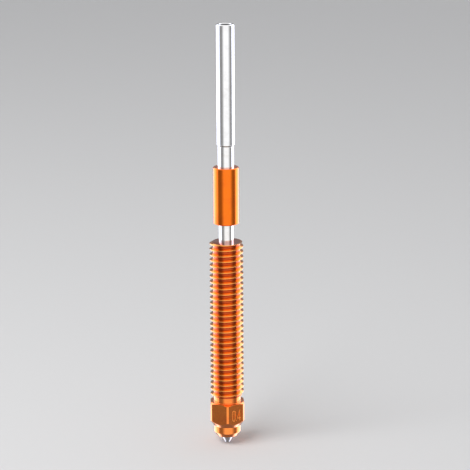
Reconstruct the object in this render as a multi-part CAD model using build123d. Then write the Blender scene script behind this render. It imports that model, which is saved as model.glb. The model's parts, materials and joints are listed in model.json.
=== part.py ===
from build123d import *
import os
from math import cos, radians, sin, sqrt, tan

# Quick-change hotend nozzle: a copper threaded nozzle body with a hardened steel tip, brazed to a
# thin-walled heat-break tube that carries a copper cooling sleeve and a steel feed tube.
# Millimetres. The origin is the centre of the flat end of the tip, +Z runs up the filament path.

# Filament path
bore_diameter = 2.0
orifice_diameter = 0.4
orifice_length = 0.7
funnel_half_angle = 30.0

# Heights of the outside, stacked upwards from the flat end of the tip
tip_height = 1.45
nose_cone_height = 0.8
nose_height = 1.2
hex_height = 4.55
shank_height = 1.3
thread_length = 28.4
neck_length = 3.3
sleeve_length = 10.2
collar_length = 3.8
feed_tube_length = 21.3

# Steel tip insert
tip_flat_diameter = 0.86
tip_insert_diameter = 2.6
tip_seat_depth = 4.5

# Nose
nose_diameter = 4.95
nose_end_diameter = 3.85

# Hexagon, with a corner facing -Y
hex_across_flats = 6.0
hex_turned_diameter = 6.72
hex_top_land_diameter = 5.9
hex_top_chamfer_angle = 30.0
hex_nose_chamfer_angle = 37.5

# Size number cut into the flat to the right of the front corner
marked_flat_azimuth = -60.0
digit_height = 2.1
digit_stroke = 0.16
zero_width = 0.64
dot_diameter = 0.2
four_width = 0.78
four_overhang = 0.15
digit_gap = 0.07
digit_depth = 0.08
number_shift = 0.15

# M6 x 1 right-hand thread
thread_diameter = 6.0
thread_pitch = 1.0
thread_half_angle = 30.0
shank_diameter = 4.92
thread_runout = 0.3
thread_top_bevel = 0.1
first_crest_drop = 0.82

# Heat-break tube
heat_break_diameter = 2.65
heat_break_seat_depth = 6.0
collar_diameter = 2.88
spigot_diameter = 2.5
spigot_length = 2.5

# Cooling sleeve and feed tube
sleeve_diameter = 4.6
feed_tube_diameter = 3.2
edge_bevel = 0.15
mouth_bevel = 0.2

# Braze rings
braze_groove_depth = 0.1
braze_groove_height = 0.8
seam_height = 0.2
seam_diameter = 2.7

# Heights above the origin, from the stack
nose_end_z = tip_height
nose_cone_z = nose_end_z + nose_cone_height
hex_bottom_z = nose_cone_z + nose_height
hex_top_z = hex_bottom_z + hex_height
thread_bottom_z = hex_top_z + shank_height
body_top_z = thread_bottom_z + thread_length
sleeve_bottom_z = body_top_z + neck_length
sleeve_top_z = sleeve_bottom_z + sleeve_length
collar_top_z = sleeve_top_z + collar_length
feed_tube_top_z = collar_top_z + feed_tube_length
tip_top_z = nose_end_z + tip_seat_depth
heat_break_bottom_z = body_top_z - heat_break_seat_depth

# Metric thread form: flats of P/8 on the crests and P/4 in the roots
crest_flat = thread_pitch / 8
root_flat = thread_pitch / 4
thread_depth = (thread_pitch - crest_flat - root_flat) / 2 / tan(radians(thread_half_angle))
thread_core_overlap = 0.12


def turned(points):
    """A solid of revolution about Z, from (radius, height) points of its half section."""
    return revolve(Plane.XZ * make_face(Polyline(*points, close=True)), Axis.Z)


def ring(inner_diameter, outer_diameter, bottom, top):
    """A plain ring between two heights."""
    inner, outer = inner_diameter / 2, outer_diameter / 2
    return turned([(inner, bottom), (outer, bottom), (outer, top), (inner, top)])


def rod(diameter, bottom, top):
    """A plain cylinder between two heights."""
    return Pos(0, 0, (bottom + top) / 2) * Cylinder(diameter / 2, top - bottom)


def braze_groove(inner_diameter, middle):
    """The ring of braze that fills the groove around a joint, centred on a height."""
    bottom = middle - braze_groove_height / 2
    return ring(inner_diameter, inner_diameter + 2 * braze_groove_depth, bottom, bottom + braze_groove_height)


def thread_ridge():
    """The helical ridge of the thread, longer than the thread at both ends."""
    root_radius = thread_diameter / 2 - thread_depth
    inner_radius = root_radius - thread_core_overlap
    crest_half = crest_flat / 2
    base_half = crest_half + (thread_diameter / 2 - inner_radius) * tan(radians(thread_half_angle))
    spare_turns = 2
    turns = int(thread_length / thread_pitch) + spare_turns
    start_z = body_top_z - first_crest_drop - thread_pitch * (turns - spare_turns)
    section = Plane.XZ * make_face(
        Polyline(
            (inner_radius, start_z - base_half),
            (thread_diameter / 2, start_z - crest_half),
            (thread_diameter / 2, start_z + crest_half),
            (inner_radius, start_z + base_half),
            close=True,
        )
    )
    path = Edge.make_helix(thread_pitch, thread_pitch * turns, root_radius, (0, 0, start_z))
    return sweep(section, path=path, is_frenet=True)


def threaded_rod():
    """The threaded stretch: a plain core with the ridge, run out at the bottom and bevelled at the top."""
    clear_radius = thread_diameter / 2 + thread_top_bevel
    bevel_radius = thread_diameter / 2 - thread_top_bevel
    runout_z = thread_bottom_z - thread_runout
    envelope = turned(
        [
            (0, runout_z),
            (shank_diameter / 2, runout_z),
            (clear_radius, thread_bottom_z),
            (clear_radius, body_top_z - 2 * thread_top_bevel),
            (bevel_radius, body_top_z),
            (0, body_top_z),
        ]
    )
    core = rod(thread_diameter - 2 * thread_depth, runout_z, body_top_z)
    return core + (thread_ridge() & envelope)


def hexagon():
    """The hexagon, turned round at its corners and coned towards the nose."""
    corner_radius = hex_across_flats / sqrt(3)
    prism = extrude(Plane.XY.offset(hex_bottom_z) * RegularPolygon(corner_radius, 6, rotation=30), hex_height)
    turned_radius = hex_turned_diameter / 2
    land_radius = hex_top_land_diameter / 2
    top_drop = (turned_radius - land_radius) * tan(radians(hex_top_chamfer_angle))
    nose_rise = (turned_radius - nose_diameter / 2) / tan(radians(hex_nose_chamfer_angle))
    envelope = turned(
        [
            (0, hex_bottom_z),
            (nose_diameter / 2, hex_bottom_z),
            (turned_radius, hex_bottom_z + nose_rise),
            (turned_radius, hex_top_z - top_drop),
            (land_radius, hex_top_z),
            (0, hex_top_z),
        ]
    )
    return prism & envelope


def zero():
    """The figure 0: a narrow ring with round ends."""
    outer = SlotOverall(digit_height, zero_width, rotation=90)
    inner = SlotOverall(digit_height - 2 * digit_stroke, zero_width - 2 * digit_stroke, rotation=90)
    return outer - inner


def four():
    """The figure 4: a slanted stroke, a crossbar and an upright."""
    upright_x = four_width / 2 - four_overhang - digit_stroke / 2
    bar_y = -digit_height / 4
    top = (upright_x, digit_height / 2 - digit_stroke / 2)
    foot = (upright_x, -digit_height / 2 + digit_stroke / 2)
    left = (-four_width / 2 + digit_stroke / 2, bar_y)
    right = (four_width / 2 - digit_stroke / 2, bar_y)
    return Sketch() + [
        trace(Line(start, end), digit_stroke) for start, end in ((top, foot), (top, left), (left, right))
    ]


def size_number():
    """The cutter for the number 0.4 on the hexagon's marked flat."""
    width = zero_width + dot_diameter + four_width + 2 * digit_gap
    zero_x = (zero_width - width) / 2
    dot_x = zero_x + (zero_width + dot_diameter) / 2 + digit_gap
    four_x = (width - four_width) / 2
    number = Sketch() + [
        Pos(zero_x, 0) * zero(),
        Pos(dot_x, (dot_diameter - digit_height) / 2) * Circle(dot_diameter / 2),
        Pos(four_x, 0) * four(),
    ]
    flat_azimuth = radians(marked_flat_azimuth)
    outward = Vector(cos(flat_azimuth), sin(flat_azimuth), 0)
    along = Vector(-sin(flat_azimuth), cos(flat_azimuth), 0)
    middle = outward * (hex_across_flats / 2) + along * number_shift
    middle += Vector(0, 0, (hex_bottom_z + hex_top_z) / 2 + number_shift)
    flat = Plane(origin=middle, x_dir=along, z_dir=outward)
    return extrude(flat * number, digit_depth, both=True)


def make_nozzle_body():
    """The copper body: nose, hexagon, shank and thread, bored for the melt, the tip and the heat break."""
    nose_radius = nose_diameter / 2
    nose = turned(
        [
            (0, nose_end_z),
            (nose_end_diameter / 2, nose_end_z),
            (nose_radius, nose_cone_z),
            (nose_radius, hex_bottom_z),
            (0, hex_bottom_z),
        ]
    )
    shank = rod(shank_diameter, hex_top_z, thread_bottom_z - thread_runout)
    body = nose + (hexagon() - size_number()) + shank + threaded_rod()
    body -= rod(bore_diameter, nose_end_z, body_top_z)
    body -= rod(tip_insert_diameter, nose_end_z, tip_top_z)
    body -= rod(heat_break_diameter, heat_break_bottom_z, body_top_z)
    return body - make_tip_braze_ring() - make_body_braze_ring()


def make_nozzle_tip():
    """The hardened steel insert: cone outside, funnel and orifice inside."""
    bore_radius, orifice_radius = bore_diameter / 2, orifice_diameter / 2
    funnel_height = (bore_radius - orifice_radius) / tan(radians(funnel_half_angle))
    return turned(
        [
            (orifice_radius, 0),
            (tip_flat_diameter / 2, 0),
            (tip_insert_diameter / 2, nose_end_z),
            (tip_insert_diameter / 2, tip_top_z),
            (bore_radius, tip_top_z),
            (bore_radius, orifice_length + funnel_height),
            (orifice_radius, orifice_length),
        ]
    )


def make_heat_break_tube():
    """The thin-walled tube: seated end, neck, collar above the sleeve and spigot into the feed tube."""
    bore_radius = bore_diameter / 2
    return turned(
        [
            (bore_radius, heat_break_bottom_z),
            (heat_break_diameter / 2, heat_break_bottom_z),
            (heat_break_diameter / 2, sleeve_top_z),
            (collar_diameter / 2, sleeve_top_z),
            (collar_diameter / 2, collar_top_z),
            (spigot_diameter / 2, collar_top_z),
            (spigot_diameter / 2, collar_top_z + spigot_length),
            (bore_radius, collar_top_z + spigot_length),
        ]
    )


def make_cooling_sleeve():
    """The copper sleeve that the heat sink grips, bevelled at both ends."""
    outer, inner = sleeve_diameter / 2, heat_break_diameter / 2
    sleeve = turned(
        [
            (inner, sleeve_bottom_z),
            (outer - edge_bevel, sleeve_bottom_z),
            (outer, sleeve_bottom_z + edge_bevel),
            (outer, sleeve_top_z - edge_bevel),
            (outer - edge_bevel, sleeve_top_z),
            (inner, sleeve_top_z),
        ]
    )
    return sleeve - make_sleeve_braze_ring()


def make_feed_tube():
    """The steel guide tube: socket at the bottom, bevelled mouth at the top."""
    outer, bore_radius, socket = feed_tube_diameter / 2, bore_diameter / 2, spigot_diameter / 2
    bottom_z = collar_top_z + seam_height
    return turned(
        [
            (socket, bottom_z),
            (outer, bottom_z),
            (outer, feed_tube_top_z - edge_bevel),
            (outer - edge_bevel, feed_tube_top_z),
            (bore_radius + mouth_bevel, feed_tube_top_z),
            (bore_radius, feed_tube_top_z - mouth_bevel),
            (bore_radius, collar_top_z + spigot_length),
            (socket, collar_top_z + spigot_length),
        ]
    )


def make_feed_tube_seam():
    """The braze between the feed tube's end and the collar, set back from both walls."""
    return ring(spigot_diameter, seam_diameter, collar_top_z, collar_top_z + seam_height)


def make_sleeve_braze_ring():
    """The braze that fixes the cooling sleeve on the heat-break tube."""
    return braze_groove(heat_break_diameter, (sleeve_bottom_z + sleeve_top_z) / 2)


def make_body_braze_ring():
    """The braze that seals the heat-break tube in the threaded body."""
    return braze_groove(heat_break_diameter, body_top_z - heat_break_seat_depth / 2)


def make_tip_braze_ring():
    """The braze that seals the steel tip in the nose."""
    return braze_groove(tip_insert_diameter, nose_end_z + tip_seat_depth / 2)


makers = {
    "feed_tube": make_feed_tube,
    "feed_tube_seam": make_feed_tube_seam,
    "heat_break_tube": make_heat_break_tube,
    "cooling_sleeve": make_cooling_sleeve,
    "sleeve_braze_ring": make_sleeve_braze_ring,
    "nozzle_body": make_nozzle_body,
    "body_braze_ring": make_body_braze_ring,
    "tip_braze_ring": make_tip_braze_ring,
    "nozzle_tip": make_nozzle_tip,
}

os.makedirs("parts", exist_ok=True)
for node, make in makers.items():
    export_step(make(), f"parts/{node}.step")
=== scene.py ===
import json
import math
from functools import cache

import bmesh
import bpy
from bpy.props import FloatProperty, FloatVectorProperty, IntProperty, PointerProperty
from bpy.types import Operator, Panel, PropertyGroup
from mathutils import Matrix, Vector
from mathutils.geometry import delaunay_2d_cdt


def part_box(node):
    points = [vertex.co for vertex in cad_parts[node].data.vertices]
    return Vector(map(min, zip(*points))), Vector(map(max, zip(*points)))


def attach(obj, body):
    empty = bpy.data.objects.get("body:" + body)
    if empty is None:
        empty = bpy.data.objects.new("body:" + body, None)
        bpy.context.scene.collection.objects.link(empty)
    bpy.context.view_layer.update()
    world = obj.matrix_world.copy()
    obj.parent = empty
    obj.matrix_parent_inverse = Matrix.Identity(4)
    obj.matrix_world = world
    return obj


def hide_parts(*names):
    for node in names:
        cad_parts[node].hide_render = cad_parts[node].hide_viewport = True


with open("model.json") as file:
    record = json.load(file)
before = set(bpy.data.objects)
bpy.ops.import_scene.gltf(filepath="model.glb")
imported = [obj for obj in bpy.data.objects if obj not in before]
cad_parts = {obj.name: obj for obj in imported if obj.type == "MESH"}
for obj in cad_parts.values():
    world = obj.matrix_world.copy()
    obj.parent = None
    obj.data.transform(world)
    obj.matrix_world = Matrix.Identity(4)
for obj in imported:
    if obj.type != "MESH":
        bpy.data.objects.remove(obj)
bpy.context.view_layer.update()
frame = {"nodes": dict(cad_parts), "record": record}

bl_info = {
    "name": "Hotend nozzle assembly",
    "version": (1, 0, 0),
    "blender": (4, 5, 0),
    "location": "3D View > Sidebar > Nozzle",
    "description": "Builds a copper nozzle with its heat break and feed tube",
    "category": "Add Mesh",
}

MM = 0.001
BODY = "root"
FLAT_COUNT = 6


# What the frame says about places and sizes, in metres


@cache
def span(node):
    """The lowest and highest height of a CAD node."""
    low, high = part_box(node)
    return low.z, high.z


@cache
def width(node):
    """The outside diameter of a round CAD node."""
    low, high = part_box(node)
    return high.x - low.x


def mount_size(mount_name, size_name):
    """One size of a mount."""
    for mount in frame["record"]["mounts"]:
        if mount["name"] == mount_name:
            return mount["dims"][size_name] * MM
    raise ValueError(f"the record has no mount named {mount_name}")


# Settings


def length(name, description, default):
    """A length setting."""
    return FloatProperty(
        name=name,
        description=description,
        default=default,
        min=0.0,
        precision=5,
        subtype="DISTANCE",
        unit="LENGTH",
    )


def angle(name, description, degrees):
    """An angle setting, with its default in degrees."""
    return FloatProperty(
        name=name, description=description, default=math.radians(degrees), subtype="ANGLE", unit="ROTATION"
    )


def colour(name, description, default):
    """A colour setting."""
    return FloatVectorProperty(
        name=name, description=description, default=default, size=3, min=0.0, soft_max=1.0, subtype="COLOR"
    )


def share(name, description, default):
    """A setting from nothing to all."""
    return FloatProperty(
        name=name, description=description, default=default, min=0.0, max=1.0, subtype="FACTOR"
    )


def level(name, description, default):
    """A brightness setting, which may be more than one."""
    return FloatProperty(name=name, description=description, default=default, min=0.0, soft_max=10.0)


class TubeSettings(PropertyGroup):
    """Sizes of the feed tube, the heat-break tube and the cooling sleeve."""

    bore: length("Bore", "Diameter of the filament's path", 2 * mount_size("filament_inlet", "r_mm"))
    feed_tube: length("Feed tube", "Outside diameter of the feed tube", width("feed_tube"))
    collar: length("Collar", "Diameter of the heat-break tube above the sleeve", width("heat_break_tube"))
    neck: length("Neck", "Diameter of the heat-break tube below the collar", 2.65 * MM)
    spigot: length("Spigot", "Diameter of the end inside the feed tube", 2.5 * MM)
    seam: length("Seam", "Diameter of the braze seam under the feed tube", width("feed_tube_seam"))
    sleeve: length("Sleeve", "Outside diameter of the cooling sleeve", width("cooling_sleeve"))
    edge_bevel: length("Edge bevel", "Bevel on the sleeve and the feed tube", 0.15 * MM)
    mouth_bevel: length("Mouth bevel", "Bevel that leads the filament in", 0.2 * MM)
    edge_rounding: length("Edge rounding", "How far an edge is broken", 0.05 * MM)
    segments: IntProperty(name="Segments", description="Faces around a turned piece", default=128, min=12)


class ThreadSettings(PropertyGroup):
    """Sizes of the threaded stem."""

    diameter: length("Diameter", "Diameter over the crests", 2 * mount_size("heater_thread", "r_mm"))
    pitch: length("Pitch", "Height of one turn", 1.0 * MM)
    threaded: length(
        "Threaded length", "Length that a nut could use", mount_size("heater_thread", "length_mm")
    )
    half_angle: angle("Half angle", "Angle of each flank", 30.0)
    crest_share: share("Crest", "Flat at the crest, as a share of the pitch", 0.125)
    root_share: share("Root", "Flat at the root, as a share of the pitch", 0.25)
    first_crest_drop: length("First crest", "Depth of the crest below the top, on the +X side", 0.82 * MM)
    top_bevel: length("Top bevel", "Bevel at the top of the stem", 0.1 * MM)
    runout: length("Runout", "Height over which the thread fades", 0.3 * MM)
    rounding: length("Rounding", "Softness of the crests and roots", 0.05 * MM)
    rows_per_turn: IntProperty(name="Rows", description="Rows of faces in one pitch", default=32, min=8)
    segments: IntProperty(name="Segments", description="Faces around the stem", default=80, min=12)


class HexagonSettings(PropertyGroup):
    """Sizes of the nose, the hexagon and the plain shank."""

    across_flats: length("Across flats", "Size of the spanner", 6.0 * MM)
    turned: length("Turned diameter", "Diameter that the corners are turned to", 6.72 * MM)
    top_land: length("Top land", "Diameter of the flat top of the hexagon", 5.9 * MM)
    top_chamfer: angle("Top chamfer", "Slope of the top chamfer", 30.0)
    nose_chamfer: angle("Nose chamfer", "Half angle of the cone below the hexagon", 37.5)
    nose: length("Nose", "Diameter of the nose", 4.95 * MM)
    nose_end: length("Nose end", "Diameter of the nose's flat end", 3.85 * MM)
    nose_cone: length("Nose cone", "Height of the nose's cone", 0.8 * MM)
    nose_height: length("Nose height", "Height of the nose's straight wall", 1.2 * MM)
    height: length("Height", "Height of the hexagon", 4.55 * MM)
    shank: length("Shank", "Diameter of the plain shank", 4.92 * MM)
    edge_rounding: length("Edge rounding", "How far an edge is broken", 0.05 * MM)
    steps_per_flat: IntProperty(name="Steps", description="Faces across each flat", default=40, min=4)


class NumberSettings(PropertyGroup):
    """Sizes of the number cut into one flat, which is the orifice's diameter."""

    azimuth: angle("Azimuth", "Direction that the marked flat faces", -60.0)
    height: length("Height", "Height of a figure", 2.1 * MM)
    stroke: length("Stroke", "Width of a stroke", 0.16 * MM)
    zero_width: length("Zero", "Width of the 0", 0.64 * MM)
    dot: length("Dot", "Diameter of the decimal point", 0.2 * MM)
    four_width: length("Four", "Width of the 4", 0.78 * MM)
    overhang: length("Overhang", "How far the crossbar of the 4 passes its upright", 0.15 * MM)
    gap: length("Gap", "Space between two figures", 0.07 * MM)
    depth: length("Depth", "Depth of the cut", 0.08 * MM)
    shift: length("Shift", "How far the number sits above and beside the middle", 0.15 * MM)


class TipSettings(PropertyGroup):
    """Sizes of the steel tip."""

    orifice: length("Orifice", "Diameter of the outlet", 2 * mount_size("orifice", "r_mm"))
    orifice_length: length("Orifice length", "Length of the outlet", mount_size("orifice", "length_mm"))
    flat: length("Flat", "Diameter of the flat end", 0.86 * MM)
    funnel: angle("Funnel", "Half angle of the funnel above the outlet", 30.0)
    edge_rounding: length("Edge rounding", "Softness of the worn tip", 0.06 * MM)


class FinishSettings(PropertyGroup):
    """Colours and polish of the metals."""

    copper: colour("Copper", "Polished copper", (0.95, 0.18, 0.003))
    copper_tarnish: colour("Copper tarnish", "Handled and heated copper", (0.84, 0.15, 0.005))
    milled_copper: colour("Milled copper", "Copper of the hexagon and the nose", (0.97, 0.26, 0.035))
    milled_tarnish: colour("Milled tarnish", "Tarnish on the hexagon and nose", (0.88, 0.2, 0.025))
    thread_copper: colour("Threaded copper", "Copper of the thread, cut bright", (0.86, 0.32, 0.06))
    thread_tarnish: colour("Thread tarnish", "Tarnish on the thread", (0.76, 0.26, 0.05))
    # Painted shade: this dark colour in the roots of the thread stands in for the shade there
    thread_root_shade: colour("Copper crevice", "Copper in the roots of the thread", (0.46, 0.06, 0.003))
    copper_cut: colour("Cut copper", "Bare copper in the engraved figures", (1.0, 0.46, 0.12))
    # Painted shade: this near-black colour inside the feed tube's bore stands in for the shade there
    bore: colour("Bore", "Unpolished steel inside the feed tube", (0.12, 0.12, 0.13))
    steel: colour("Steel", "Polished steel", (0.9, 0.9, 0.91))
    steel_tarnish: colour("Steel tarnish", "Handled steel", (0.78, 0.77, 0.77))
    titanium: colour("Titanium", "Polished titanium", (0.88, 0.87, 0.87))
    titanium_tarnish: colour("Titanium tarnish", "Titanium warmed by the brazing", (0.76, 0.72, 0.68))
    tip: colour("Tip", "Ground hardened steel", (0.66, 0.61, 0.61))
    tip_tarnish: colour("Tip tarnish", "Hardened steel with burnt-on plastic", (0.38, 0.36, 0.37))
    braze: colour("Braze", "Braze alloy", (0.3, 0.26, 0.22))
    braze_tarnish: colour("Braze tarnish", "Oxidised braze", (0.13, 0.1, 0.08))
    polish: share("Polish", "Roughness of the polished metals", 0.13)
    satin: share("Satin", "Roughness of the ground steel", 0.26)


class StudioSettings(PropertyGroup):
    """Floor, light and camera."""

    floor: colour("Floor", "Tone of the floor", (0.56, 0.56, 0.565))
    ambient: level("Ambient", "Even light on the floor", 0.62)
    key: level("Key", "Power of the soft light, in watts", 2.4)
    front: level("Front", "Brightness of the front panel", 1.12)
    shade: level("Shade", "Brightness between the panels", 0.31)
    overhead: level("Overhead", "Brightness of the panel above", 1.15)
    low_front: level("Low front", "Brightness of the front panel's foot", 1.5)
    below: level("Below", "Brightness of the panel below", 0.27)
    side: colour("Sides", "Light of the side panels", (2.6, 2.7, 3.1))
    lens: FloatProperty(name="Lens", description="Focal length in millimetres", default=141.7, unit="CAMERA")
    pitch: angle("Pitch", "How far the camera looks down", 14.96)
    turn: angle("Turn", "How far the camera stands to the right", -1.4)
    roll: angle("Roll", "How far the camera leans", -0.26)
    distance: length("Distance", "Distance from the camera to the stem", 0.3267)
    aim: length("Aim", "Height that the camera looks at", 0.03884)
    aside: length("Aside", "How far the camera looks past the stem", 0.00154)


SETTINGS = {
    "nozzle_tubes": TubeSettings,
    "nozzle_thread": ThreadSettings,
    "nozzle_hexagon": HexagonSettings,
    "nozzle_number": NumberSettings,
    "nozzle_tip": TipSettings,
    "nozzle_finish": FinishSettings,
    "nozzle_studio": StudioSettings,
}


# Node trees


class NodeSheet:
    """A short way to place and join the nodes of one tree."""

    def __init__(self, tree):
        self.tree = tree

    def add(self, kind, inputs=None, **settings):
        """A node with its settings, and each input joined to a socket or given a value."""
        node = self.tree.nodes.new(kind)
        for key, value in settings.items():
            setattr(node, key, value)
        for key, value in (inputs or {}).items():
            self.feed(node.inputs[key], value)
        return node

    def feed(self, socket, value):
        """Joins a socket to another, or gives it a value."""
        if isinstance(value, bpy.types.NodeSocket):
            self.tree.links.new(value, socket)
        else:
            socket.default_value = value

    def math(self, operation, *values):
        """The result of one Math node."""
        return self.add("ShaderNodeMath", dict(enumerate(values)), operation=operation).outputs[0]

    def fade(self, value, start, end):
        """A smooth step from 0 to 1 as a value goes from start to end."""
        inputs = {"Value": value, "From Min": start, "From Max": end}
        return self.add("ShaderNodeMapRange", inputs, interpolation_type="SMOOTHSTEP").outputs["Result"]

    def remap(self, value, from_range, to_range):
        """A value moved from one range to another."""
        inputs = dict(enumerate((value, *from_range, *to_range)))
        return self.add("ShaderNodeMapRange", inputs).outputs["Result"]

    def noise(self, place, scale, detail, roughness=0.5):
        """Fractal noise around a half."""
        inputs = {"Vector": place, "Scale": scale, "Detail": detail, "Roughness": roughness}
        return self.add("ShaderNodeTexNoise", inputs).outputs["Fac"]

    def blend(self, factor, first, second):
        """A colour between two others."""
        node = self.add("ShaderNodeMix", {0: factor, 6: first, 7: second}, data_type="RGBA")
        return node.outputs[2]

    def ramp(self, factor, stops):
        """A colour ramp with (position, colour) stops."""
        node = self.add("ShaderNodeValToRGB", {"Fac": factor})
        elements = node.color_ramp.elements
        while len(elements) < len(stops):
            elements.new(1.0)
        for element, (position, tone) in zip(elements, stops):
            element.position = position
            element.color = tone
        return node.outputs["Color"]


def rgba(tone):
    """A colour setting with full opacity."""
    return (*tone, 1.0)


def grey(value):
    """An even grey."""
    return (value, value, value, 1.0)


def new_material(name):
    """An empty node material with a Principled shader on its output."""
    material = bpy.data.materials.new(name)
    material.use_nodes = True
    material.node_tree.nodes.clear()
    sheet = NodeSheet(material.node_tree)
    shader = sheet.add("ShaderNodeBsdfPrincipled")
    sheet.add("ShaderNodeOutputMaterial", {"Surface": shader.outputs["BSDF"]})
    return material, sheet, shader


def turned_metal(name, bright, dull, roughness, tooling, lacquer, painted_shade=None, painted_shade_reach=None):
    """Lathe-turned metal: tool lines around the axis, cloudy handling marks and painted shade in deep places.

    Its clear lacquer is given by refractive index, where 1 is none. A painted shade colour holds at the first
    radius of its reach and is gone at the second.
    """
    line_scale, speck_scale, cloud_scale = 9000.0, 5200.0, 380.0
    speck_share, mark_wear, cloud_wear = 0.35, 0.5, 0.6
    smoothest, roughest = 0.72, 1.35
    material, sheet, shader = new_material(name)
    calc = sheet.math
    place = sheet.add("ShaderNodeTexCoord").outputs["Object"]
    x, y, z = sheet.add("ShaderNodeSeparateXYZ", {"Vector": place}).outputs
    radius = calc("SQRT", calc("ADD", calc("MULTIPLY", x, x), calc("MULTIPLY", y, y)))

    cloud = sheet.noise(place, cloud_scale, detail=5.0, roughness=0.62)
    tarnish = sheet.remap(cloud, from_range=(0.46, 0.72), to_range=(0.0, 1.0))
    tone = sheet.blend(tarnish, rgba(bright), rgba(dull))
    # Painted shade: a darker colour towards the axis, in the deep places
    if painted_shade:
        painted_shade_gone = sheet.fade(radius, *painted_shade_reach)
        tone = sheet.blend(painted_shade_gone, rgba(painted_shade), tone)
    sheet.feed(shader.inputs["Base Color"], tone)

    around = {"X": calc("DIVIDE", x, radius), "Y": calc("DIVIDE", y, radius)}
    lines_at = sheet.add("ShaderNodeCombineXYZ", {**around, "Z": calc("MULTIPLY", z, line_scale)})
    lines = sheet.noise(lines_at.outputs["Vector"], scale=1.0, detail=4.0, roughness=0.7)
    specks = sheet.noise(place, speck_scale, detail=2.0)
    marks = calc("ADD", lines, calc("MULTIPLY", specks, speck_share))
    marked, clouded = calc("MULTIPLY", marks, mark_wear), calc("MULTIPLY", cloud, cloud_wear)
    worn_range = (smoothest * roughness, roughest * roughness)
    wear = sheet.remap(calc("ADD", marked, clouded), from_range=(0.35, 0.95), to_range=worn_range)
    sheet.feed(shader.inputs["Roughness"], wear)
    bump = sheet.add("ShaderNodeBump", {"Height": marks, "Strength": tooling, "Distance": 0.01 * MM})
    sheet.feed(shader.inputs["Normal"], bump.outputs["Normal"])
    shader.inputs["Metallic"].default_value = 1.0
    shader.inputs["Coat Weight"].default_value = 1.0 if lacquer > 1.0 else 0.0
    shader.inputs["Coat Roughness"].default_value = 0.1
    shader.inputs["Coat IOR"].default_value = lacquer
    return material


def make_finishes(context):
    """Every metal of the assembly, by name."""
    colours = context.scene.nozzle_finish
    polish, satin = colours.polish, colours.satin
    thread = context.scene.nozzle_thread
    depth = thread_depth(thread)
    root = thread.diameter / 2 - depth
    bore = context.scene.nozzle_tubes.bore / 2
    # Painted shade: dark colours held by radius in the thread's roots and in the feed tube's bore
    painted_shades = {
        "threaded copper": (colours.thread_root_shade, (root, root + 0.3 * depth)),
        # Painted shade inside the feed tube's bore and the foot of its mouth bevel
        "bright steel": (colours.bore, (bore, bore + 0.15 * MM)),
    }
    # Name, colour, tarnish, roughness, tooling and lacquer
    metals = (
        ("polished copper", colours.copper, colours.copper_tarnish, 1.15 * polish, 0.25, 1.25),
        ("milled copper", colours.milled_copper, colours.milled_tarnish, 1.3 * polish, 0.3, 1.4),
        ("threaded copper", colours.thread_copper, colours.thread_tarnish, 1.25 * polish, 0.25, 1.3),
        ("cut copper", colours.copper_cut, colours.milled_copper, 4.0 * polish, 0.5, 1.0),
        ("bright steel", colours.steel, colours.steel_tarnish, polish, 0.2, 1.0),
        ("bright titanium", colours.titanium, colours.titanium_tarnish, polish, 0.2, 1.0),
        ("ground steel", colours.tip, colours.tip_tarnish, satin, 0.5, 1.0),
        ("braze alloy", colours.braze, colours.braze_tarnish, 1.4 * satin, 0.6, 1.0),
    )
    for metal in metals:
        turned_metal(*metal, *painted_shades.get(metal[0], ()))


def finish(name):
    """One of the metals."""
    return bpy.data.materials[name]


# Meshes


def object_from_bmesh(bm, name, *materials):
    """Turns a finished bmesh into an object at the origin."""
    same_place = 1e-8
    bmesh.ops.remove_doubles(bm, verts=bm.verts, dist=same_place)
    bmesh.ops.recalc_face_normals(bm, faces=bm.faces)
    mesh = bpy.data.meshes.new(name)
    bm.to_mesh(mesh)
    bm.free()
    for material in materials:
        mesh.materials.append(material)
    piece = bpy.data.objects.new(name, mesh)
    bpy.context.scene.collection.objects.link(piece)
    return piece


def polish_edges(piece, degrees):
    """Smooth shading, except on level faces and at edges sharper than the angle."""
    mesh = piece.data
    nearly_level = 0.9999
    for face in mesh.polygons:
        face.use_smooth = abs(face.normal.z) < nearly_level
    mesh.set_sharp_from_angle(angle=math.radians(degrees))


def settle(piece, material):
    """Turns a piece's modifiers into a plain mesh with one material."""
    depsgraph = bpy.context.evaluated_depsgraph_get()
    result = bpy.data.meshes.new_from_object(piece.evaluated_get(depsgraph), depsgraph=depsgraph)
    piece.modifiers.clear()
    old = piece.data
    piece.data = result
    result.name = piece.name
    result.materials.clear()
    result.materials.append(material)
    result.polygons.foreach_set("material_index", [0] * len(result.polygons))
    bpy.data.meshes.remove(old)


def require_closed(piece):
    """Stops with an error if a piece has an open edge."""
    bm = bmesh.new()
    bm.from_mesh(piece.data)
    open_edges = sum(1 for edge in bm.edges if not edge.is_manifold)
    bm.free()
    if open_edges:
        raise RuntimeError(f"{piece.name} has {open_edges} open edges")


def rounded_outline(corners, steps=3):
    """(radius, height) points of a closed outline, from (radius, height, rounding) corners.

    A point just outside each rounding keeps its soft shading off the wall beside it.
    """
    margin = 1.1
    longest_share = 0.45
    outline = []
    for index, (radius, height, rounding) in enumerate(corners):
        corner = Vector((radius, height))
        if not rounding:
            outline.append(corner)
            continue
        before = Vector(corners[index - 1][:2]) - corner
        after = Vector(corners[(index + 1) % len(corners)][:2]) - corner
        reach = min(rounding, longest_share * min(before.length, after.length))
        start = corner + before.normalized() * reach
        end = corner + after.normalized() * reach
        outline.append(corner + before.normalized() * reach * margin)
        for step in range(steps + 1):
            t = step / steps
            outline.append(start * (1 - t) ** 2 + corner * 2 * t * (1 - t) + end * t**2)
        outline.append(corner + after.normalized() * reach * margin)
    return outline


def ring_vertices(bm, azimuth, outline):
    """The vertices of one section of a turned piece."""
    direction = Vector((math.cos(azimuth), math.sin(azimuth), 0))
    return [bm.verts.new(direction * point[0] + Vector((0, 0, point[1]))) for point in outline]


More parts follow.
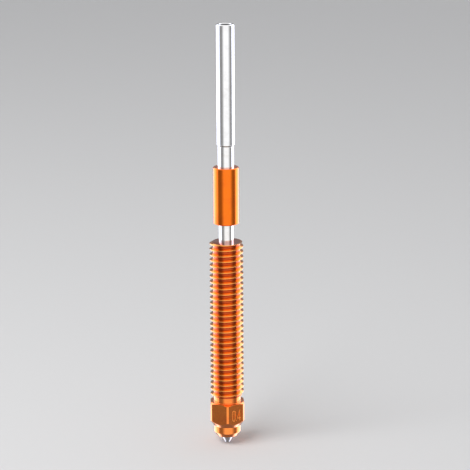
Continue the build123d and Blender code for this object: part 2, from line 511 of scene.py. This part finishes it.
def skin(bm, columns, closed):
    """Faces between neighbouring sections, all the way round."""
    rows = len(columns[0]) if closed else len(columns[0]) - 1
    for this, following in zip(columns, columns[1:] + columns[:1]):
        for index in range(rows):
            above = (index + 1) % len(this)
            bm.faces.new((this[index], following[index], following[above], this[above]))


def braze_seat(node, wall):
    """The corners of the groove that a ring of braze fills, from the top down."""
    low, high = span(node)
    floor = 0.5 * width(node)
    return [(wall, high, 0), (floor, high, 0), (floor, low, 0), (wall, low, 0)]


def hand_over(piece, slot_name, *nodes):
    """Fixes a closed piece to the body and hides the CAD nodes that it stands for."""
    require_closed(piece)
    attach(piece, BODY)
    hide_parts(*nodes)


def turned_piece(name, corners, metal, slot_name, node):
    """Adds a lathe-turned ring with rounded corners, which stands for one CAD node."""
    outline = rounded_outline(corners)
    segments = bpy.context.scene.nozzle_tubes.segments
    bm = bmesh.new()
    columns = [ring_vertices(bm, math.tau * index / segments, outline) for index in range(segments)]
    skin(bm, columns, closed=True)
    piece = object_from_bmesh(bm, name, finish(metal))
    polish_edges(piece, degrees=30)
    hand_over(piece, slot_name, node)


# Thread


def thread_depth(thread):
    """Depth of the thread from crest to root."""
    slopes = thread.pitch * (1 - thread.crest_share - thread.root_share)
    return slopes / 2 / math.tan(thread.half_angle)


def thread_tree(values):
    """Geometry nodes that roll a sheet into the outside of a screw thread, with an input for each value.

    The sheet's rows follow the helix. Its height is trimmed to the stem first, and then each point's distance
    from the nearest crest gives its radius.
    """
    tree = bpy.data.node_groups.new("screw thread", "GeometryNodeTree")
    tree.is_modifier = True
    kinds = {float: "NodeSocketFloat", int: "NodeSocketInt"}
    for name, value in values.items():
        kind = kinds.get(type(value), "NodeSocketMaterial")
        tree.interface.new_socket(name=name, in_out="INPUT", socket_type=kind)
    tree.interface.new_socket(name="Geometry", in_out="OUTPUT", socket_type="NodeSocketGeometry")
    sheet = NodeSheet(tree)
    calc = sheet.math
    size = sheet.add("NodeGroupInput").outputs
    pitch, bottom, top = size["Pitch"], size["Bottom"], size["Top"]

    turns_down = calc("DIVIDE", calc("SUBTRACT", size["First Crest"], bottom), pitch)
    whole_turns = calc("CEIL", calc("ADD", turns_down, 1.0))
    start = calc("SUBTRACT", size["First Crest"], calc("MULTIPLY", whole_turns, pitch))
    row_height = calc("DIVIDE", pitch, size["Rows per Turn"])
    rows = calc("CEIL", calc("DIVIDE", calc("SUBTRACT", top, start), row_height))
    grid = sheet.add(
        "GeometryNodeMeshGrid",
        {
            "Size X": 1.0,
            "Size Y": 1.0,
            "Vertices X": calc("ADD", size["Segments"], 1.0),
            "Vertices Y": calc("ADD", rows, 1.0),
        },
    ).outputs["Mesh"]

    flat_place = sheet.add("ShaderNodeSeparateXYZ", {0: sheet.add("GeometryNodeInputPosition").outputs[0]})
    around = calc("ADD", flat_place.outputs["X"], 0.5)
    along = calc("ADD", flat_place.outputs["Y"], 0.5)
    climb = calc("MULTIPLY", calc("MULTIPLY", along, rows), row_height)
    raw_height = calc("ADD", start, calc("ADD", climb, calc("MULTIPLY", around, pitch)))
    height = calc("MAXIMUM", bottom, calc("MINIMUM", raw_height, top))

    turns_up = calc("DIVIDE", calc("SUBTRACT", height, size["First Crest"]), pitch)
    phase = calc("FRACT", calc("ADD", calc("SUBTRACT", turns_up, around), 0.5))
    from_crest = calc("MULTIPLY", calc("ABSOLUTE", calc("SUBTRACT", phase, 0.5)), pitch)
    past_flat = calc("SUBTRACT", from_crest, calc("MULTIPLY", size["Crest Flat"], 0.5))
    flank_drop = calc("MULTIPLY", past_flat, size["Flank Slope"])
    flank = calc("SUBTRACT", size["Crest Radius"], flank_drop)
    crested = calc("SMOOTH_MIN", flank, size["Crest Radius"], size["Rounding"])
    rooted = calc("SMOOTH_MAX", crested, size["Root Radius"], size["Rounding"])
    below_top = calc("SUBTRACT", top, height)
    bevelled = calc("ADD", calc("SUBTRACT", size["Crest Radius"], size["Top Bevel"]), below_top)
    above_bottom = calc("DIVIDE", calc("SUBTRACT", height, bottom), size["Runout"])
    gain = calc("SUBTRACT", size["Crest Radius"], size["Shank Radius"])
    faded = calc("ADD", size["Shank Radius"], calc("MULTIPLY", above_bottom, gain))
    radius = calc("MINIMUM", rooted, calc("MINIMUM", bevelled, faded))

    azimuth = calc("MULTIPLY", around, math.tau)
    rolled_place = sheet.add(
        "ShaderNodeCombineXYZ",
        {
            "X": calc("MULTIPLY", radius, calc("COSINE", azimuth)),
            "Y": calc("MULTIPLY", radius, calc("SINE", azimuth)),
            "Z": height,
        },
    ).outputs["Vector"]
    rolled = sheet.add("GeometryNodeSetPosition", {"Geometry": grid, "Position": rolled_place})
    rolled = rolled.outputs["Geometry"]
    seam_gap = 1e-6
    merged = sheet.add("GeometryNodeMergeByDistance", {"Geometry": rolled, "Distance": seam_gap}).outputs[0]
    real = sheet.add("GeometryNodeRealizeInstances", {"Geometry": merged}).outputs[0]
    coated = sheet.add("GeometryNodeSetMaterial", {"Geometry": real, "Material": size["Material"]})
    sheet.add("NodeGroupOutput", {"Geometry": coated.outputs["Geometry"]})
    return tree


def set_inputs(modifier, values):
    """Sets a node modifier's inputs, found by name and set by identifier."""
    for item in modifier.node_group.interface.items_tree:
        if item.item_type == "SOCKET" and item.in_out == "INPUT":
            modifier[item.identifier] = values[item.name]


def bore_thread(piece, bottom, top, inner_wall):
    """Closes a rolled thread with its two end faces and its bore."""
    bm = bmesh.new()
    bm.from_mesh(piece.data)
    tolerance = 1e-7
    rims = []
    for end in (top, bottom):
        rim = [vertex for vertex in bm.verts if vertex.is_boundary and abs(vertex.co.z - end) < tolerance]
        rims.append(sorted(rim, key=lambda vertex: math.atan2(vertex.co.y, vertex.co.x)))
    if len(rims[0]) != len(rims[1]):
        raise RuntimeError(f"{piece.name} has rims of {len(rims[0])} and {len(rims[1])} points")
    columns = []
    for upper, lower in zip(*rims):
        azimuth = math.atan2(upper.co.y, upper.co.x)
        columns.append([upper, *ring_vertices(bm, azimuth, inner_wall), lower])
    skin(bm, columns, closed=False)
    bmesh.ops.recalc_face_normals(bm, faces=bm.faces)
    bm.to_mesh(piece.data)
    bm.free()


# Figures


def rounded_bar(start, end, half_width, steps=8):
    """The outline of a stroke with round ends."""
    direction = (end - start).normalized()
    side = Vector((-direction.y, direction.x))
    outline = []
    for centre, sign in ((end, -1), (start, 1)):
        for step in range(steps + 1):
            turn = math.pi * step / steps
            outline.append(
                centre + sign * (side * math.cos(turn) - direction * math.sin(turn)) * half_width
            )
    return outline


def flat_placement(number, across_flats, middle_height):
    """The plane of the marked flat, with X along the number and Z outwards."""
    outward = Vector((math.cos(number.azimuth), math.sin(number.azimuth), 0))
    along = Vector((-math.sin(number.azimuth), math.cos(number.azimuth), 0))
    up = Vector((0, 0, 1))
    centre = outward * across_flats / 2 + along * number.shift + up * (middle_height + number.shift)
    turn = Matrix((along, up, outward)).transposed().to_4x4()
    return Matrix.Translation(centre) @ turn


def figure_outlines(number):
    """The outlines of the strokes of 0.4, each with whether it is the hole of the 0."""
    half_stroke = number.stroke / 2
    half_height = number.height / 2
    total = number.zero_width + number.dot + number.four_width + 2 * number.gap
    zero_x = (number.zero_width - total) / 2
    dot_x = zero_x + (number.zero_width + number.dot) / 2 + number.gap
    four_x = (total - number.four_width) / 2

    zero_reach = half_height - number.zero_width / 2
    zero_ends = Vector((zero_x, -zero_reach)), Vector((zero_x, zero_reach))
    zero_outer = rounded_bar(*zero_ends, number.zero_width / 2)
    zero_inner = rounded_bar(*zero_ends, number.zero_width / 2 - number.stroke)

    dot_centre = Vector((dot_x, number.dot / 2 - half_height))
    nudge = Vector((0, 0.001 * number.dot))
    dot = rounded_bar(dot_centre - nudge, dot_centre + nudge, number.dot / 2)

    upright_x = four_x + number.four_width / 2 - number.overhang - half_stroke
    top = Vector((upright_x, half_height - half_stroke))
    foot = Vector((upright_x, half_stroke - half_height))
    bar_y = -number.height / 4
    left = Vector((four_x - number.four_width / 2 + half_stroke, bar_y))
    right = Vector((four_x + number.four_width / 2 - half_stroke, bar_y))
    outlines = [(zero_outer, False), (zero_inner, True), (dot, False)]
    for start, end in ((foot, top), (top, left), (left, right)):
        outlines.append((rounded_bar(start, end, half_stroke), False))
    return outlines


def faces_on_flat(bm, placement):
    """The faces that lie in the plane of the flat."""
    to_flat = placement.inverted()
    tolerance = 1e-8
    return [face for face in bm.faces if all(abs((to_flat @ v.co).z) < tolerance for v in face.verts)]


def rim_of_flat(faces, placement):
    """The flat's outer vertices in order: along its lower edge, and back along its upper edge."""
    to_flat = placement.inverted()
    decimals = 4
    columns = {}
    for vertex in {vertex for face in faces for vertex in face.verts}:
        place = to_flat @ vertex.co
        columns.setdefault(round(place.x / MM, decimals), []).append((place.y, vertex))
    columns = [sorted(columns[key], key=lambda pair: pair[0]) for key in sorted(columns)]
    columns = [[vertex for _, vertex in column] for column in columns]
    lower = [column[0] for column in columns]
    upper = [column[-1] for column in columns]
    return lower + columns[-1][1:-1] + upper[::-1] + columns[0][-2:0:-1]


def engrave(bm, number, placement, cut_index):
    """Fills the marked flat anew, with the figures sunk into it and finished as material cut_index."""
    faces = faces_on_flat(bm, placement)
    rim = rim_of_flat(faces, placement)
    bmesh.ops.delete(bm, geom=faces, context="FACES")
    to_flat = placement.inverted()
    points = [(to_flat @ vertex.co).to_2d() / MM for vertex in rim]
    polygons = [list(range(len(rim)))]
    hole_indices = set()
    for outline, is_hole in figure_outlines(number):
        if is_hole:
            hole_indices.add(len(polygons))
        polygons.append(list(range(len(points), len(points) + len(outline))))
        points.extend(point / MM for point in outline)
    inside_only, same_point = 1, 1e-6
    filled = delaunay_2d_cdt(points, [], polygons, inside_only, same_point)
    places, _, triangles, old_points, _, old_polygons = filled

    def corner(index, depth):
        """The vertex of one point, on the flat or on the floor of the figures."""
        if (index, depth) not in made:
            known = [old for old in old_points[index] if old < len(rim)]
            if known and not depth:
                made[index, depth] = rim[known[0]]
            else:
                made[index, depth] = bm.verts.new(placement @ Vector((*(places[index] * MM), -depth)))
        return made[index, depth]

    made = {}
    depths_beside = {}
    for triangle, inside in zip(triangles, old_polygons):
        is_cut = any(index for index in inside) and not hole_indices.intersection(inside)
        depth = number.depth if is_cut else 0
        face = bm.faces.new([corner(index, depth) for index in triangle])
        face.material_index = cut_index if is_cut else 0
        for first, second in zip(triangle, triangle[1:] + triangle[:1]):
            depths_beside.setdefault(frozenset((first, second)), set()).add(depth)
    for (first, second), depths in depths_beside.items():
        if len(depths) > 1:
            wall = [(first, 0), (second, 0), (second, number.depth), (first, number.depth)]
            bm.faces.new([corner(*place) for place in wall]).material_index = cut_index


# Pieces


class AddFinishes(Operator):
    """Make the metals of the assembly"""

    bl_idname = "nozzle.add_finishes"
    bl_label = "Metals"

    def execute(self, context):
        make_finishes(context)
        return {"FINISHED"}


class AddFeedTube(Operator):
    """Add the polished steel tube that guides the filament in"""

    bl_idname = "nozzle.add_feed_tube"
    bl_label = "Feed tube"

    def execute(self, context):
        tubes = context.scene.nozzle_tubes
        bottom, top = span("feed_tube")
        socket_top = span("heat_break_tube")[1]
        outer, bore, socket = tubes.feed_tube / 2, tubes.bore / 2, tubes.spigot / 2
        fine = tubes.edge_rounding
        corners = [
            (socket, bottom, 0),
            (outer, bottom, fine),
            (outer, top - tubes.edge_bevel, fine),
            (outer - tubes.edge_bevel, top, fine),
            (bore + tubes.mouth_bevel, top, fine),
            (bore, top - tubes.mouth_bevel, fine),
            (bore, socket_top, 0),
            (socket, socket_top, 0),
        ]
        turned_piece("feed_tube_turned", corners, "bright steel", "polished_steel", "feed_tube")
        return {"FINISHED"}


class AddHeatBreak(Operator):
    """Add the thin titanium tube that keeps the heat down"""

    bl_idname = "nozzle.add_heat_break"
    bl_label = "Heat-break tube"

    def execute(self, context):
        tubes = context.scene.nozzle_tubes
        bottom, top = span("heat_break_tube")
        shoulder = span("cooling_sleeve")[1]
        collar_top = span("feed_tube_seam")[0]
        bore, neck, collar, spigot = tubes.bore / 2, tubes.neck / 2, tubes.collar / 2, tubes.spigot / 2
        corners = [
            (bore, bottom, 0),
            (neck, bottom, 0),
            (neck, shoulder, 0),
            (collar, shoulder, 0),
            (collar, collar_top, tubes.edge_rounding),
            (spigot, collar_top, 0),
            (spigot, top, 0),
            (bore, top, 0),
        ]
        turned_piece("heat_break_turned", corners, "bright titanium", "titanium", "heat_break_tube")
        return {"FINISHED"}


class AddCoolingSleeve(Operator):
    """Add the copper sleeve that the heat sink grips"""

    bl_idname = "nozzle.add_cooling_sleeve"
    bl_label = "Cooling sleeve"

    def execute(self, context):
        tubes = context.scene.nozzle_tubes
        bottom, top = span("cooling_sleeve")
        outer, inner, bevel = tubes.sleeve / 2, tubes.neck / 2, tubes.edge_bevel
        fine = tubes.edge_rounding
        corners = [
            (inner, bottom, 0),
            (outer - bevel, bottom, fine),
            (outer, bottom + bevel, fine),
            (outer, top - bevel, fine),
            (outer - bevel, top, fine),
            (inner, top, 0),
            *braze_seat("sleeve_braze_ring", inner),
        ]
        turned_piece("sleeve_turned", corners, "polished copper", "copper", "cooling_sleeve")
        return {"FINISHED"}


class AddThreadedStem(Operator):
    """Add the threaded upper part of the copper body"""

    bl_idname = "nozzle.add_threaded_stem"
    bl_label = "Threaded stem"

    def execute(self, context):
        thread = context.scene.nozzle_thread
        tubes = context.scene.nozzle_tubes
        top = span("nozzle_body")[1]
        bottom = top - thread.threaded - thread.runout
        piece = bpy.data.objects.new("stem_threaded", bpy.data.meshes.new("stem_threaded"))
        context.scene.collection.objects.link(piece)
        values = {
            "Crest Radius": thread.diameter / 2,
            "Root Radius": thread.diameter / 2 - thread_depth(thread),
            "Pitch": thread.pitch,
            "Crest Flat": thread.pitch * thread.crest_share,
            "Flank Slope": 1 / math.tan(thread.half_angle),
            "Bottom": bottom,
            "Top": top,
            "First Crest": top - thread.first_crest_drop,
            "Top Bevel": thread.top_bevel,
            "Shank Radius": context.scene.nozzle_hexagon.shank / 2,
            "Runout": thread.runout,
            "Rounding": thread.rounding,
            "Rows per Turn": thread.rows_per_turn,
            "Segments": thread.segments,
            "Material": finish("threaded copper"),
        }
        modifier = piece.modifiers.new("thread", "NODES")
        modifier.node_group = thread_tree(values)
        set_inputs(modifier, values)
        settle(piece, finish("threaded copper"))
        bore, seat = tubes.bore / 2, tubes.neck / 2
        seat_end = span("heat_break_tube")[0]
        inner_wall = [
            (seat, top),
            *braze_seat("body_braze_ring", seat),
            (seat, seat_end),
            (bore, seat_end),
            (bore, bottom),
        ]
        bore_thread(piece, bottom, top, inner_wall)
        polish_edges(piece, degrees=42)
        hand_over(piece, "copper", "nozzle_body")
        return {"FINISHED"}


class AddHexagon(Operator):
    """Add the nose, the numbered hexagon and the plain shank of the copper body"""

    bl_idname = "nozzle.add_hexagon"
    bl_label = "Hexagon and nose"

    def execute(self, context):
        hexagon = context.scene.nozzle_hexagon
        number = context.scene.nozzle_number
        nose_end = span("nozzle_body")[0]
        hexagon_bottom = nose_end + hexagon.nose_cone + hexagon.nose_height
        hexagon_top = hexagon_bottom + hexagon.height
        bm = bmesh.new()
        columns = [
            ring_vertices(bm, azimuth, self.section(context, reach))
            for azimuth, reach in self.sections_around(hexagon)
        ]
        skin(bm, columns, closed=True)
        middle_height = (hexagon_bottom + hexagon_top) / 2
        placement = flat_placement(number, hexagon.across_flats, middle_height)
        engrave(bm, number, placement, cut_index=1)
        piece = object_from_bmesh(bm, "hexagon_and_nose", finish("milled copper"), finish("cut copper"))
        polish_edges(piece, degrees=20)
        self.flatten_flats(piece, hexagon.across_flats / 2)
        hand_over(piece, "copper", "nozzle_body")
        return {"FINISHED"}

    def flatten_flats(self, piece, flat_radius):
        """Plain shading on the six flats, so that they mirror as planes."""
        tilt_tolerance, reach_tolerance = 1e-5, 1e-8
        for face in piece.data.polygons:
            reach = face.center.dot(face.normal)
            if abs(face.normal.z) < tilt_tolerance and abs(reach - flat_radius) < reach_tolerance:
                face.use_smooth = False

    def sections_around(self, hexagon):
        """(azimuth, radius) pairs around the hexagon, with the ends of each flat on a section."""
        flat_radius, turned_radius = hexagon.across_flats / 2, hexagon.turned / 2
        half_flat = math.acos(flat_radius / turned_radius)
        sector = math.tau / FLAT_COUNT
        corner_steps = 4
        sections = []
        for flat_index in range(FLAT_COUNT):
            middle = flat_index * sector
            for step in range(hexagon.steps_per_flat + 1):
                offset = half_flat * (2 * step / hexagon.steps_per_flat - 1)
                sections.append((middle + offset, flat_radius / math.cos(offset)))
            for step in range(1, corner_steps):
                offset = half_flat + (sector - 2 * half_flat) * step / corner_steps
                sections.append((middle + offset, turned_radius))
        return sections

    def section(self, context, reach):
        """The outline at one azimuth, where the hexagon is so far from the axis."""
        hexagon = context.scene.nozzle_hexagon
        thread = context.scene.nozzle_thread
        fine = hexagon.edge_rounding
        nose_end, body_top = span("nozzle_body")
        tip_seat, tip_top = width("nozzle_tip") / 2, span("nozzle_tip")[1]
        bore = context.scene.nozzle_tubes.bore / 2
        nose, land = hexagon.nose / 2, hexagon.top_land / 2
        cone_top = nose_end + hexagon.nose_cone
        bottom = cone_top + hexagon.nose_height
        top = bottom + hexagon.height
        shank_top = body_top - thread.threaded - thread.runout
        rise = (reach - nose) / math.tan(hexagon.nose_chamfer)
        drop = (reach - land) * math.tan(hexagon.top_chamfer)
        return rounded_outline(
            [
                (tip_seat, nose_end, 0),
                (hexagon.nose_end / 2, nose_end, fine),
                (nose, cone_top, 2 * fine),
                (nose, bottom, fine),
                (reach, bottom + rise, fine),
                (reach, top - drop, fine),
                (land, top, fine),
                (hexagon.shank / 2, top, 2 * fine),
                (hexagon.shank / 2, shank_top, 0),
                (bore, shank_top, 0),
                (bore, tip_top, 0),
                (tip_seat, tip_top, 0),
                *braze_seat("tip_braze_ring", tip_seat),
            ]
        )


class AddTip(Operator):
    """Add the hardened steel tip"""

    bl_idname = "nozzle.add_tip"
    bl_label = "Steel tip"

    def execute(self, context):
        tip = context.scene.nozzle_tip
        tubes = context.scene.nozzle_tubes
        bottom, top = span("nozzle_tip")
        seat_bottom = span("nozzle_body")[0]
        outer, bore, orifice = width("nozzle_tip") / 2, tubes.bore / 2, tip.orifice / 2
        throat = bottom + tip.orifice_length
        fine = tip.edge_rounding
        corners = [
            (orifice, bottom, fine / 2),
            (tip.flat / 2, bottom, fine),
            (outer, seat_bottom, fine / 2),
            (outer, top, 0),
            (bore, top, 0),
            (bore, throat + (bore - orifice) / math.tan(tip.funnel), 0),
            (orifice, throat, 0),
        ]
        turned_piece("tip_ground", corners, "ground steel", "hardened_steel", "nozzle_tip")
        return {"FINISHED"}


class AddBraze(Operator):
    """Add the braze seam under the feed tube, and finish the hidden braze rings"""

    bl_idname = "nozzle.add_braze"
    bl_label = "Braze"

    def execute(self, context):
        tubes = context.scene.nozzle_tubes
        bottom, top = span("feed_tube_seam")
        inner, outer = tubes.spigot / 2, tubes.seam / 2
        fine = tubes.edge_rounding
        corners = [(inner, bottom, 0), (outer, bottom, fine), (outer, top, fine), (inner, top, 0)]
        turned_piece("seam_brazed", corners, "braze alloy", "braze", "feed_tube_seam")
        for node in ("sleeve_braze_ring", "body_braze_ring", "tip_braze_ring"):
            materials = frame["nodes"][node].data.materials
            materials.clear()
            materials.append(finish("braze alloy"))
        return {"FINISHED"}


# Floor, light and camera


def add_floor(scene, studio):
    """A plain floor, which the metal doesn't mirror."""
    reach = 3.0
    corners = [(-reach, -reach, 0), (reach, -reach, 0), (reach, reach, 0), (-reach, reach, 0)]
    mesh = bpy.data.meshes.new("floor")
    mesh.from_pydata(corners, [], [(0, 1, 2, 3)])
    material, sheet, shader = new_material("studio floor")
    place = sheet.add("ShaderNodeTexCoord").outputs["Object"]
    grain = sheet.noise(place, scale=900.0, detail=3.0)
    tone = Vector(studio.floor)
    mottling = tone * 0.01
    sheet.feed(shader.inputs["Base Color"], sheet.blend(grain, rgba(tone - mottling), rgba(tone + mottling)))
    shader.inputs["Roughness"].default_value = 0.9
    mesh.materials.append(material)
    floor = bpy.data.objects.new("floor", mesh)
    floor.visible_glossy = False
    scene.collection.objects.link(floor)


def add_key_light(scene, studio):
    """A large soft light above and to the left, for the shadow on the floor."""
    data = bpy.data.lights.new("key", "AREA")
    data.energy = studio.key
    data.shape = "RECTANGLE"
    data.size, data.size_y = 0.35, 0.25
    light = bpy.data.objects.new("key", data)
    place = Vector((-0.22, -0.2, 0.45))
    light.matrix_world = Matrix.Translation(place) @ place.to_track_quat("Z", "Y").to_matrix().to_4x4()
    light.visible_glossy = False
    scene.collection.objects.link(light)


def add_panels(scene, studio):
    """Tall light panels around the metal, seen only in its reflections, and an even light for the rest."""
    world = bpy.data.worlds.new("studio")
    scene.world = world
    world.cycles.sampling_method = "NONE"
    world.use_nodes = True
    world.node_tree.nodes.clear()
    sheet = NodeSheet(world.node_tree)
    way = sheet.add("ShaderNodeTexCoord").outputs["Generated"]
    x, y, z = sheet.add("ShaderNodeSeparateXYZ", {"Vector": way}).outputs
    turn = sheet.math("ARCTAN2", x, sheet.math("MULTIPLY", y, -1.0))
    around = sheet.remap(turn, (-math.pi, math.pi), (0.0, 1.0))

    side = Vector(studio.side)
    brightest = max(side)
    shade, front = grey(studio.shade / brightest), grey(studio.front / brightest)
    panel = rgba(side / brightest)
    dim_panel = rgba(0.6 * side / brightest)
    soft = 3.0

    def walls(front_tone):
        """The panels all the way round, with soft edges and one tone in front."""
        # First degree, last degree and tone
        zones = (
            (-180, -150, shade),
            (-150, -104, panel),
            (-96, -80, dim_panel),
            (-74, -40, shade),
            (-22, 37, front_tone),
            (57, 86, shade),
            (94, 150, panel),
            (150, 180, shade),
        )
        stops = []
        for first, last, tone in zones:
            stops.append((0.5 + (first + soft) / 360, tone))
            stops.append((0.5 + (last - soft) / 360, tone))
        return sheet.ramp(around, stops)

    glow = walls(front)
    # Each layer takes over between two heights of the mirrored direction
    layers = (
        (0.5, 0.9, grey(studio.overhead / brightest)),
        (-0.42, -0.52, walls(grey(studio.low_front / brightest))),
        (-0.8, -0.93, grey(studio.below / brightest)),
    )
    for fade_start, fade_end, tone in layers:
        glow = sheet.blend(sheet.fade(z, fade_start, fade_end), glow, tone)
    mirrored = sheet.add("ShaderNodeBackground", {"Color": glow, "Strength": brightest})
    even = sheet.add("ShaderNodeBackground", {"Color": grey(1.0), "Strength": studio.ambient})
    is_mirrored = sheet.add("ShaderNodeLightPath").outputs["Is Glossy Ray"]
    both = sheet.add("ShaderNodeMixShader", {0: is_mirrored, 1: even.outputs[0], 2: mirrored.outputs[0]})
    sheet.add("ShaderNodeOutputWorld", {"Surface": both.outputs["Shader"]})


def add_camera(scene, studio):
    """The camera, in front of the stem and a little above its middle."""
    data = bpy.data.cameras.new("camera")
    data.lens = studio.lens
    data.clip_start, data.clip_end = 0.01, 20.0
    pitch, turn = studio.pitch, studio.turn
    right = Vector((math.cos(turn), math.sin(turn), 0))
    back = Vector((math.sin(turn) * math.cos(pitch), -math.cos(turn) * math.cos(pitch), math.sin(pitch)))
    place = Vector((0, 0, studio.aim)) + right * studio.aside + back * studio.distance
    camera = bpy.data.objects.new("camera", data)
    camera.matrix_world = (
        Matrix.Translation(place)
        @ back.to_track_quat("Z", "Y").to_matrix().to_4x4()
        @ Matrix.Rotation(studio.roll, 4, "Z")
    )
    scene.collection.objects.link(camera)
    scene.camera = camera


class AddStudio(Operator):
    """Add the floor, the light and the camera"""

    bl_idname = "nozzle.add_studio"
    bl_label = "Studio"

    def execute(self, context):
        scene = context.scene
        studio = scene.nozzle_studio
        for add in (add_floor, add_key_light, add_panels, add_camera):
            add(scene, studio)
        scene.view_settings.view_transform = "Standard"
        return {"FINISHED"}


OPERATORS = (
    AddStudio,
    AddFinishes,
    AddFeedTube,
    AddHeatBreak,
    AddCoolingSleeve,
    AddThreadedStem,
    AddHexagon,
    AddTip,
    AddBraze,
)


class NozzlePanel(Panel):
    """The pieces of the nozzle and their settings"""

    bl_idname = "VIEW3D_PT_nozzle"
    bl_label = "Nozzle"
    bl_space_type = "VIEW_3D"
    bl_region_type = "UI"
    bl_category = "Nozzle"

    def draw(self, context):
        column = self.layout.column()
        for operator in OPERATORS:
            column.operator(operator.bl_idname)
        for name in SETTINGS:
            box = self.layout.box()
            group = getattr(context.scene, name)
            for key in group.bl_rna.properties.keys():
                if key not in ("rna_type", "name"):
                    box.prop(group, key)


CLASSES = (*SETTINGS.values(), *OPERATORS, NozzlePanel)


def register():
    """Adds the classes and the settings."""
    for item in CLASSES:
        bpy.utils.register_class(item)
    for name, group in SETTINGS.items():
        setattr(bpy.types.Scene, name, PointerProperty(type=group))


def unregister():
    """Takes the settings and the classes away."""
    for name in SETTINGS:
        delattr(bpy.types.Scene, name)
    for item in reversed(CLASSES):
        bpy.utils.unregister_class(item)


def main():
    """Builds the whole scene."""
    register()
    for operator in OPERATORS:
        getattr(bpy.ops.nozzle, operator.bl_idname.removeprefix("nozzle."))()


if __name__ == "__main__":
    main()
